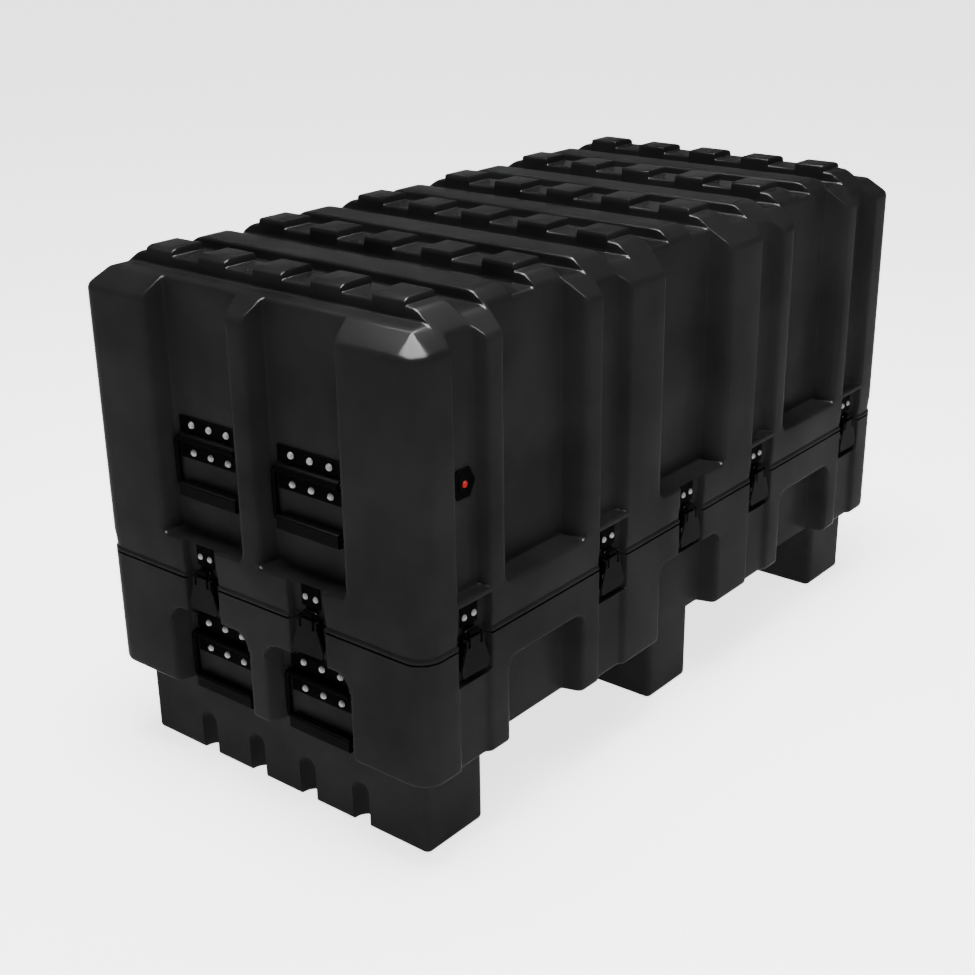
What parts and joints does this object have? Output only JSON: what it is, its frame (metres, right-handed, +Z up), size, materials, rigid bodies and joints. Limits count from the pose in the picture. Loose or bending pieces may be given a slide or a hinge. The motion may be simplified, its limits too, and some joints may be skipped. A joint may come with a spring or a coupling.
{
  "type": "battery transit case",
  "caption": "Stackable rectangular transit case on runners, with a ribbed lift-off lid held by draw latches, drop handles and a pressure relief valve.",
  "frame": {"origin": "on the floor under the middle of the case", "axes": "+X along the length, +Y across the width away from the side with the valve, +Z up"},
  "size_m": [1.226, 0.616, 0.748],
  "materials": {
    "shell": "fine moulded texture",
    "hardware": "satin black coat",
    "wire": "satin black coat",
    "grip": "moulded",
    "rivet": "satin",
    "gasket": "soft",
    "fitting": "moulded",
    "button": "smooth red"
  },
  "bodies": {
    "base": {"base_shell": "shell", "base_runners": "shell", "latch_seat_plates": "hardware", "latch_pivot_pins": "wire", "seat_plate_rivets": "rivet", "base_handle_brackets": "hardware", "base_handle_rivets": "rivet"},
    "lid": {"lid_shell": "shell", "lid_gasket": "gasket", "latch_keepers": "hardware", "keeper_rivets": "rivet", "lid_handle_brackets": "hardware", "lid_handle_rivets": "rivet", "valve_body": "fitting", "valve_nut": "fitting"},
    "valve_button": {"valve_button": "button"},
    "latch_lever_01": {"latch_lever_01": "hardware"},
    "latch_loop_01": {"latch_loop_01": "wire"},
    "latch_lever_02": {"latch_lever_02": "hardware"},
    "latch_loop_02": {"latch_loop_02": "wire"},
    "latch_lever_03": {"latch_lever_03": "hardware"},
    "latch_loop_03": {"latch_loop_03": "wire"},
    "latch_lever_04": {"latch_lever_04": "hardware"},
    "latch_loop_04": {"latch_loop_04": "wire"},
    "latch_lever_05": {"latch_lever_05": "hardware"},
    "latch_loop_05": {"latch_loop_05": "wire"},
    "latch_lever_06": {"latch_lever_06": "hardware"},
    "latch_loop_06": {"latch_loop_06": "wire"},
    "latch_lever_07": {"latch_lever_07": "hardware"},
    "latch_loop_07": {"latch_loop_07": "wire"},
    "latch_lever_08": {"latch_lever_08": "hardware"},
    "latch_loop_08": {"latch_loop_08": "wire"},
    "latch_lever_09": {"latch_lever_09": "hardware"},
    "latch_loop_09": {"latch_loop_09": "wire"},
    "latch_lever_10": {"latch_lever_10": "hardware"},
    "latch_loop_10": {"latch_loop_10": "wire"},
    "latch_lever_11": {"latch_lever_11": "hardware"},
    "latch_loop_11": {"latch_loop_11": "wire"},
    "latch_lever_12": {"latch_lever_12": "hardware"},
    "latch_loop_12": {"latch_loop_12": "wire"},
    "latch_lever_13": {"latch_lever_13": "hardware"},
    "latch_loop_13": {"latch_loop_13": "wire"},
    "latch_lever_14": {"latch_lever_14": "hardware"},
    "latch_loop_14": {"latch_loop_14": "wire"},
    "handle_1": {"handle_bail_1": "wire", "handle_grip_1": "grip"},
    "handle_2": {"handle_bail_2": "wire", "handle_grip_2": "grip"},
    "handle_3": {"handle_bail_3": "wire", "handle_grip_3": "grip"},
    "handle_4": {"handle_bail_4": "wire", "handle_grip_4": "grip"},
    "handle_5": {"handle_bail_5": "wire", "handle_grip_5": "grip"},
    "handle_6": {"handle_bail_6": "wire", "handle_grip_6": "grip"},
    "handle_7": {"handle_bail_7": "wire", "handle_grip_7": "grip"},
    "handle_8": {"handle_bail_8": "wire", "handle_grip_8": "grip"}
  },
  "joints": [
    {"name": "lid_lift", "type": "slide", "parent": "base", "child": "lid", "axis": [0, 0, 1], "range_m": [0, 0.35]},
    {"name": "valve_press", "type": "slide", "parent": "lid", "child": "valve_button", "axis": [0, 1, 0], "range_m": [0, 0.003], "stiffness_N_per_m": 300, "springref_m": -0.002},
    {"name": "latch_01_open", "type": "hinge", "parent": "base", "child": "latch_lever_01", "pos_m": [-0.5135, -0.3025, 0.306], "axis": [-1, 0, 0], "range_deg": [0, 110]},
    {"name": "latch_01_loop_swing", "type": "hinge", "parent": "latch_lever_01", "child": "latch_loop_01", "pos_m": [-0.5135, -0.3025, 0.299], "axis": [-1, 0, 0], "range_deg": [-94, 0]},
    {"name": "latch_02_open", "type": "hinge", "parent": "base", "child": "latch_lever_02", "pos_m": [-0.207, -0.3025, 0.306], "axis": [-1, 0, 0], "range_deg": [0, 110]},
    {"name": "latch_02_loop_swing", "type": "hinge", "parent": "latch_lever_02", "child": "latch_loop_02", "pos_m": [-0.207, -0.3025, 0.299], "axis": [-1, 0, 0], "range_deg": [-94, 0]},
    {"name": "latch_03_open", "type": "hinge", "parent": "base", "child": "latch_lever_03", "pos_m": [0, -0.3025, 0.306], "axis": [-1, 0, 0], "range_deg": [0, 110]},
    {"name": "latch_03_loop_swing", "type": "hinge", "parent": "latch_lever_03", "child": "latch_loop_03", "pos_m": [0, -0.3025, 0.299], "axis": [-1, 0, 0], "range_deg": [-94, 0]},
    {"name": "latch_04_open", "type": "hinge", "parent": "base", "child": "latch_lever_04", "pos_m": [0.207, -0.3025, 0.306], "axis": [-1, 0, 0], "range_deg": [0, 110]},
    {"name": "latch_04_loop_swing", "type": "hinge", "parent": "latch_lever_04", "child": "latch_loop_04", "pos_m": [0.207, -0.3025, 0.299], "axis": [-1, 0, 0], "range_deg": [-94, 0]},
    {"name": "latch_05_open", "type": "hinge", "parent": "base", "child": "latch_lever_05", "pos_m": [0.5135, -0.3025, 0.306], "axis": [-1, 0, 0], "range_deg": [0, 110]},
    {"name": "latch_05_loop_swing", "type": "hinge", "parent": "latch_lever_05", "child": "latch_loop_05", "pos_m": [0.5135, -0.3025, 0.299], "axis": [-1, 0, 0], "range_deg": [-94, 0]},
    {"name": "latch_06_open", "type": "hinge", "parent": "base", "child": "latch_lever_06", "pos_m": [0.5135, 0.3025, 0.306], "axis": [1, 0, 0], "range_deg": [0, 110]},
    {"name": "latch_06_loop_swing", "type": "hinge", "parent": "latch_lever_06", "child": "latch_loop_06", "pos_m": [0.5135, 0.3025, 0.299], "axis": [1, 0, 0], "range_deg": [-94, 0]},
    {"name": "latch_07_open", "type": "hinge", "parent": "base", "child": "latch_lever_07", "pos_m": [0.207, 0.3025, 0.306], "axis": [1, 0, 0], "range_deg": [0, 110]},
    {"name": "latch_07_loop_swing", "type": "hinge", "parent": "latch_lever_07", "child": "latch_loop_07", "pos_m": [0.207, 0.3025, 0.299], "axis": [1, 0, 0], "range_deg": [-94, 0]},
    {"name": "latch_08_open", "type": "hinge", "parent": "base", "child": "latch_lever_08", "pos_m": [0, 0.3025, 0.306], "axis": [1, 0, 0], "range_deg": [0, 110]},
    {"name": "latch_08_loop_swing", "type": "hinge", "parent": "latch_lever_08", "child": "latch_loop_08", "pos_m": [0, 0.3025, 0.299], "axis": [1, 0, 0], "range_deg": [-94, 0]},
    {"name": "latch_09_open", "type": "hinge", "parent": "base", "child": "latch_lever_09", "pos_m": [-0.207, 0.3025, 0.306], "axis": [1, 0, 0], "range_deg": [0, 110]},
    {"name": "latch_09_loop_swing", "type": "hinge", "parent": "latch_lever_09", "child": "latch_loop_09", "pos_m": [-0.207, 0.3025, 0.299], "axis": [1, 0, 0], "range_deg": [-94, 0]},
    {"name": "latch_10_open", "type": "hinge", "parent": "base", "child": "latch_lever_10", "pos_m": [-0.5135, 0.3025, 0.306], "axis": [1, 0, 0], "range_deg": [0, 110]},
    {"name": "latch_10_loop_swing", "type": "hinge", "parent": "latch_lever_10", "child": "latch_loop_10", "pos_m": [-0.5135, 0.3025, 0.299], "axis": [1, 0, 0], "range_deg": [-94, 0]},
    {"name": "latch_11_open", "type": "hinge", "parent": "base", "child": "latch_lever_11", "pos_m": [0.6075, -0.1025, 0.306], "axis": [0, -1, 0], "range_deg": [0, 110]},
    {"name": "latch_11_loop_swing", "type": "hinge", "parent": "latch_lever_11", "child": "latch_loop_11", "pos_m": [0.6075, -0.1025, 0.299], "axis": [0, -1, 0], "range_deg": [-94, 0]},
    {"name": "latch_12_open", "type": "hinge", "parent": "base", "child": "latch_lever_12", "pos_m": [0.6075, 0.1025, 0.306], "axis": [0, -1, 0], "range_deg": [0, 110]},
    {"name": "latch_12_loop_swing", "type": "hinge", "parent": "latch_lever_12", "child": "latch_loop_12", "pos_m": [0.6075, 0.1025, 0.299], "axis": [0, -1, 0], "range_deg": [-94, 0]},
    {"name": "latch_13_open", "type": "hinge", "parent": "base", "child": "latch_lever_13", "pos_m": [-0.6075, 0.1025, 0.306], "axis": [0, 1, 0], "range_deg": [0, 110]},
    {"name": "latch_13_loop_swing", "type": "hinge", "parent": "latch_lever_13", "child": "latch_loop_13", "pos_m": [-0.6075, 0.1025, 0.299], "axis": [0, 1, 0], "range_deg": [-94, 0]},
    {"name": "latch_14_open", "type": "hinge", "parent": "base", "child": "latch_lever_14", "pos_m": [-0.6075, -0.1025, 0.306], "axis": [0, 1, 0], "range_deg": [0, 110]},
    {"name": "latch_14_loop_swing", "type": "hinge", "parent": "latch_lever_14", "child": "latch_loop_14", "pos_m": [-0.6075, -0.1025, 0.299], "axis": [0, 1, 0], "range_deg": [-94, 0]},
    {"name": "handle_1_swing", "type": "hinge", "parent": "lid", "child": "handle_1", "pos_m": [0.585, -0.0955, 0.5], "axis": [0, -1, 0], "range_deg": [0, 105]},
    {"name": "handle_2_swing", "type": "hinge", "parent": "lid", "child": "handle_2", "pos_m": [0.585, 0.0955, 0.5], "axis": [0, -1, 0], "range_deg": [0, 105]},
    {"name": "handle_3_swing", "type": "hinge", "parent": "lid", "child": "handle_3", "pos_m": [-0.585, 0.0955, 0.5], "axis": [0, 1, 0], "range_deg": [0, 105]},
    {"name": "handle_4_swing", "type": "hinge", "parent": "lid", "child": "handle_4", "pos_m": [-0.585, -0.0955, 0.5], "axis": [0, 1, 0], "range_deg": [0, 105]},
    {"name": "handle_5_swing", "type": "hinge", "parent": "base", "child": "handle_5", "pos_m": [0.585, -0.0955, 0.201], "axis": [0, -1, 0], "range_deg": [0, 105]},
    {"name": "handle_6_swing", "type": "hinge", "parent": "base", "child": "handle_6", "pos_m": [0.585, 0.0955, 0.201], "axis": [0, -1, 0], "range_deg": [0, 105]},
    {"name": "handle_7_swing", "type": "hinge", "parent": "base", "child": "handle_7", "pos_m": [-0.585, 0.0955, 0.201], "axis": [0, 1, 0], "range_deg": [0, 105]},
    {"name": "handle_8_swing", "type": "hinge", "parent": "base", "child": "handle_8", "pos_m": [-0.585, -0.0955, 0.201], "axis": [0, 1, 0], "range_deg": [0, 105]}
  ],
  "couplings": [
    {"joint": "latch_01_loop_swing", "follows": "latch_01_open", "ratio": -0.85},
    {"joint": "latch_02_loop_swing", "follows": "latch_02_open", "ratio": -0.85},
    {"joint": "latch_03_loop_swing", "follows": "latch_03_open", "ratio": -0.85},
    {"joint": "latch_04_loop_swing", "follows": "latch_04_open", "ratio": -0.85},
    {"joint": "latch_05_loop_swing", "follows": "latch_05_open", "ratio": -0.85},
    {"joint": "latch_06_loop_swing", "follows": "latch_06_open", "ratio": -0.85},
    {"joint": "latch_07_loop_swing", "follows": "latch_07_open", "ratio": -0.85},
    {"joint": "latch_08_loop_swing", "follows": "latch_08_open", "ratio": -0.85},
    {"joint": "latch_09_loop_swing", "follows": "latch_09_open", "ratio": -0.85},
    {"joint": "latch_10_loop_swing", "follows": "latch_10_open", "ratio": -0.85},
    {"joint": "latch_11_loop_swing", "follows": "latch_11_open", "ratio": -0.85},
    {"joint": "latch_12_loop_swing", "follows": "latch_12_open", "ratio": -0.85},
    {"joint": "latch_13_loop_swing", "follows": "latch_13_open", "ratio": -0.85},
    {"joint": "latch_14_loop_swing", "follows": "latch_14_open", "ratio": -0.85}
  ]
}
